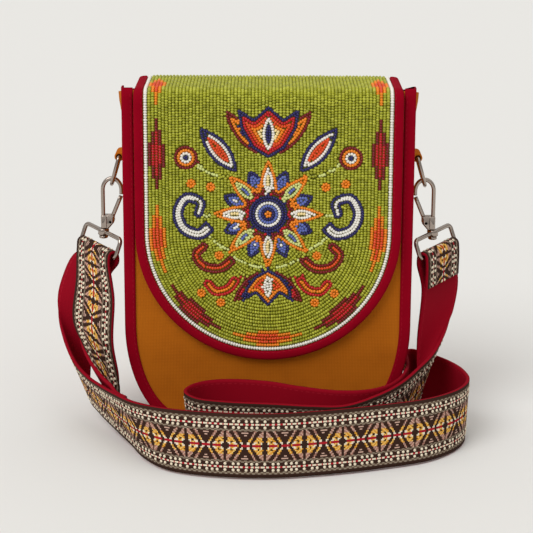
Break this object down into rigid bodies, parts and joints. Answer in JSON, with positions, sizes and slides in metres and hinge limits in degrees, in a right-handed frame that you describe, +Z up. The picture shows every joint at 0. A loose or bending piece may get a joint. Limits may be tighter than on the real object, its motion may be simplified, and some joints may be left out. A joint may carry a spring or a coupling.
{
  "type": "beaded crossbody bag",
  "caption": "Upright crossbody bag with a rounded canvas body, bound edges, a beaded fold-over flap and a wide woven strap clipped to side rings.",
  "frame": {"origin": "centre of the bag's base, on the floor, midway between the two panels", "axes": "+X to the viewer's right, +Y away from the viewer through the bag's depth, +Z up"},
  "size_m": [0.2587, 0.1458, 0.2167],
  "materials": {
    "canvas": "ochre canvas with a fine weave",
    "binding": "crimson cotton binding",
    "lining": "plain red cotton",
    "beads_green": "opaque olive glass seed beads",
    "beads_white": "opaque white glass seed beads",
    "beads_red": "opaque red glass seed beads",
    "beads_orange": "opaque orange glass seed beads",
    "beads_blue": "opaque dark blue glass seed beads",
    "metal": "dark polished plated hardware",
    "webbing": "patterned woven webbing with a plain red back"
  },
  "bodies": {
    "bag": {"front_panel": "canvas", "back_panel": "canvas", "gusset": "canvas", "front_binding": "binding", "back_binding": "binding", "mouth_binding": "binding", "bag_lining": "lining", "flap_lining": "lining", "bead_field": "beads_green", "white_edging": "beads_white", "flap_binding": "binding", "flap_rear_hem": "binding", "foot_lozenge": "beads_orange", "bud": "beads_red", "star_petals": "beads_red", "flower_core": "beads_blue", "flower_cup": "beads_orange", "left_top_lozenge": "beads_orange", "left_upper_lozenge": "beads_red", "left_side_lozenge": "beads_orange", "left_lower_lozenge": "beads_red", "left_scroll": "beads_blue", "left_flame": "beads_orange", "left_tendril": "beads_red", "left_low_tendril": "beads_orange", "right_top_lozenge": "beads_orange", "right_upper_lozenge": "beads_red", "right_side_lozenge": "beads_orange", "right_lower_lozenge": "beads_red", "right_scroll": "beads_blue", "right_flame": "beads_orange", "right_tendril": "beads_red", "right_low_tendril": "beads_orange", "left_tab": "canvas", "right_tab": "canvas", "left_strap_ring": "metal", "right_strap_ring": "metal", "strap": "webbing"},
    "left_d_ring": {"left_d_ring": "metal"},
    "left_hook": {"left_hook": "metal", "left_gate_pin": "metal"},
    "left_gate": {"left_gate": "metal"},
    "right_d_ring": {"right_d_ring": "metal"},
    "right_hook": {"right_hook": "metal", "right_gate_pin": "metal"},
    "right_gate": {"right_gate": "metal"}
  },
  "joints": [
    {"name": "left_d_ring_swing", "type": "hinge", "parent": "bag", "child": "left_d_ring", "pos_m": [-0.0922, 0, 0.17], "axis": [0, 1, 0], "range_deg": [-3, 3]},
    {"name": "left_hook_swivel", "type": "hinge", "parent": "bag", "child": "left_hook", "pos_m": [-0.1034, 0, 0.12296], "axis": [0, 0, 1], "range_deg": [-10, 10]},
    {"name": "left_gate_pivot", "type": "hinge", "parent": "left_hook", "child": "left_gate", "pos_m": [-0.0989, 0, 0.12721], "axis": [0, -1, 0], "range_deg": [0, 22], "stiffness_Nm_per_rad": 0.01, "springref_deg": -4.98},
    {"name": "right_d_ring_swing", "type": "hinge", "parent": "bag", "child": "right_d_ring", "pos_m": [0.0922, 0, 0.17], "axis": [0, -1, 0], "range_deg": [-3, 3]},
    {"name": "right_hook_swivel", "type": "hinge", "parent": "bag", "child": "right_hook", "pos_m": [0.1034, 0, 0.12296], "axis": [0, 0, 1], "range_deg": [-10, 10]},
    {"name": "right_gate_pivot", "type": "hinge", "parent": "right_hook", "child": "right_gate", "pos_m": [0.0989, 0, 0.12721], "axis": [0, 1, 0], "range_deg": [0, 22], "stiffness_Nm_per_rad": 0.01, "springref_deg": -4.98}
  ]
}
